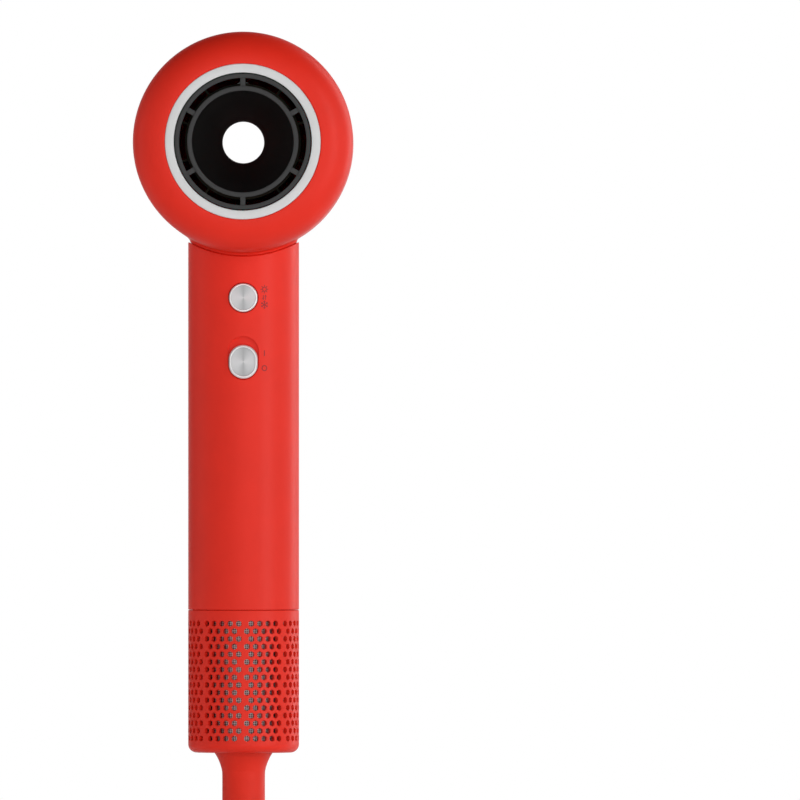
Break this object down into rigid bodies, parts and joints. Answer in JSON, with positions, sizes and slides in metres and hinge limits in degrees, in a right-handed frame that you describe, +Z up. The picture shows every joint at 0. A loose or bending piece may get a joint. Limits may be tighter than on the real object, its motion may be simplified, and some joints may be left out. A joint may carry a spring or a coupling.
{
  "type": "hair dryer",
  "caption": "Slim hair dryer with an open ring-shaped head, rear rocker, slider and button on a round handle, perforated intake cover, and a mains lead in a tied hank.",
  "frame": {"origin": "the hand grip: a point on the handle's axis 110 mm below the head's centre", "axes": "+Z up along the handle's axis, the outlet faces -Y, the controls on the head face +Y"},
  "size_m": [0.078, 0.0956, 0.5384],
  "materials": {
    "red_satin": "satin painted plastic",
    "soft_red": "matt flexible plastic",
    "silver": "fine satin",
    "aluminium": "spun brushed",
    "chrome": "mirror bright",
    "grey_plastic": "satin",
    "black_plastic": "satin",
    "steel": "plain",
    "mica": "mineral sheet",
    "circuit_board": "lacquered",
    "rubber": "matt",
    "copper": "lacquered winding",
    "brass": "bright",
    "white_lens": "clear",
    "red_lens": "clear"
  },
  "bodies": {
    "casing": {"head_shell": "red_satin", "rear_bezel": "red_satin", "outlet_ring": "silver", "nozzle_magnet_ring": "steel", "outlet_grille": "grey_plastic", "inner_cone": "black_plastic", "heater_frame": "mica", "heater_coil": "steel", "heater_sleeve": "mica", "thermostat": "steel", "rocker_pin": "steel", "control_board": "circuit_board", "white_led_1": "white_lens", "white_led_2": "white_lens", "white_led_3": "white_lens", "red_led_1": "red_lens", "red_led_2": "red_lens", "red_led_3": "red_lens", "handle_tube": "red_satin", "neck_seal": "rubber", "button_dome": "rubber", "power_switch": "black_plastic", "main_board": "circuit_board", "air_duct": "black_plastic", "duct_adapter": "black_plastic", "motor_housing": "grey_plastic", "stator": "copper", "lower_bearing": "steel", "upper_bearing": "steel", "lower_motor_mount": "rubber", "upper_motor_mount": "rubber", "heater_leads": "rubber", "supply_lead": "rubber", "intake_frame": "black_plastic", "intake_mesh": "steel", "strain_relief": "soft_red", "cord_clamp": "black_plastic", "clamp_screw_1": "steel", "clamp_screw_2": "steel", "cord_lead": "soft_red", "cord_hank": "soft_red", "cord_tie": "rubber", "cord_tail": "soft_red", "plug_body": "soft_red", "plug_pin_1": "brass", "plug_pin_2": "brass"},
    "rotor": {"rotor_shaft": "steel", "rotor_magnet": "steel", "impeller": "aluminium"},
    "rocker": {"control_rocker": "chrome"},
    "button": {"cool_button": "aluminium"},
    "slider": {"power_slider": "aluminium"},
    "cover": {"intake_cover": "red_satin"}
  },
  "joints": [
    {"name": "rotor_spin", "type": "hinge", "parent": "casing", "child": "rotor", "pos_m": [0, 0, -0.032], "axis": [0, 0, 1], "continuous": true},
    {"name": "rocker_tilt", "type": "hinge", "parent": "casing", "child": "rocker", "pos_m": [0, 0.0272, 0.0816], "axis": [0, 0, 1], "range_deg": [-2.5, 2.5], "stiffness_Nm_per_rad": 0.05},
    {"name": "cool_button_press", "type": "slide", "parent": "casing", "child": "button", "axis": [0, 1, 0], "range_m": [0, 0.0012], "stiffness_N_per_m": 400},
    {"name": "power_slide", "type": "slide", "parent": "casing", "child": "slider", "axis": [0, 0, 1], "range_m": [0, 0.0027]},
    {"name": "intake_cover_slide", "type": "slide", "parent": "casing", "child": "cover", "axis": [0, 0, -1], "range_m": [0, 0.052]}
  ]
}
